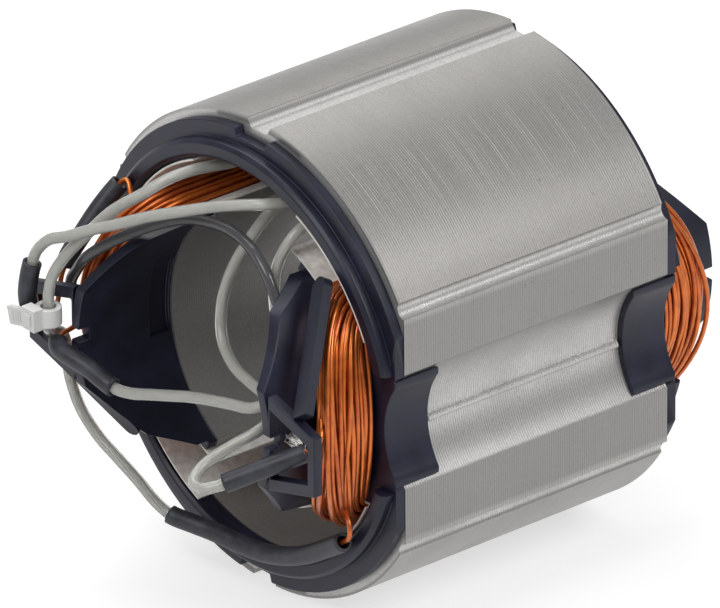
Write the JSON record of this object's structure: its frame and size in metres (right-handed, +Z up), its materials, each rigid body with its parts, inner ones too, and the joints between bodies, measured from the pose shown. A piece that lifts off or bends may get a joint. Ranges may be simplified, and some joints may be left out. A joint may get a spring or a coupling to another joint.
{
  "type": "motor stator",
  "caption": "Stator of a universal motor: laminated steel stack with wound coils, moulded end insulators, guard walls, sleeved splices and leads gathered by a cable tie.",
  "frame": {"origin": "centre of the rotor bore, halfway along the lamination stack", "axes": "+Y along the rotor bore towards the rear end, +X through the right-hand pole, +Z up, with the stack lying on its bottom arc"},
  "size_m": [0.0792, 0.1112, 0.0898],
  "materials": {
    "lamination_steel": "stacked electrical steel sheet, satin",
    "insulator_plastic": "black glass-filled nylon",
    "enamelled_copper": "enamelled copper wire, glossy",
    "liner_paper": "pressed insulation paper",
    "sleeve_rubber": "black shrink sleeve",
    "tinned_joint": "tinned copper strands",
    "lead_insulation": "translucent off-white silicone",
    "tie_nylon": "natural nylon"
  },
  "bodies": {
    "root": {"lamination_stack": "lamination_steel", "front_end_insulator": "insulator_plastic", "rear_end_insulator": "insulator_plastic", "left_coil": "enamelled_copper", "right_coil": "enamelled_copper", "slot_liner_upper_right": "liner_paper", "slot_liner_upper_left": "liner_paper", "slot_liner_lower_left": "liner_paper", "slot_liner_lower_right": "liner_paper", "splice_sleeve_1": "sleeve_rubber", "splice_sleeve_2": "sleeve_rubber", "splice_sleeve_3": "sleeve_rubber", "splice_sleeve_4": "sleeve_rubber", "tail_sleeve": "sleeve_rubber", "splice_1": "tinned_joint", "splice_2": "tinned_joint", "splice_3": "tinned_joint", "splice_4": "tinned_joint", "lead_1": "lead_insulation", "lead_2": "lead_insulation", "lead_3": "lead_insulation", "lead_4": "lead_insulation", "link_lead": "lead_insulation", "lead_core_1": "tinned_joint", "lead_core_2": "tinned_joint", "lead_core_3": "tinned_joint", "lead_core_4": "tinned_joint", "cable_tie": "tie_nylon"}
  },
  "joints": []
}
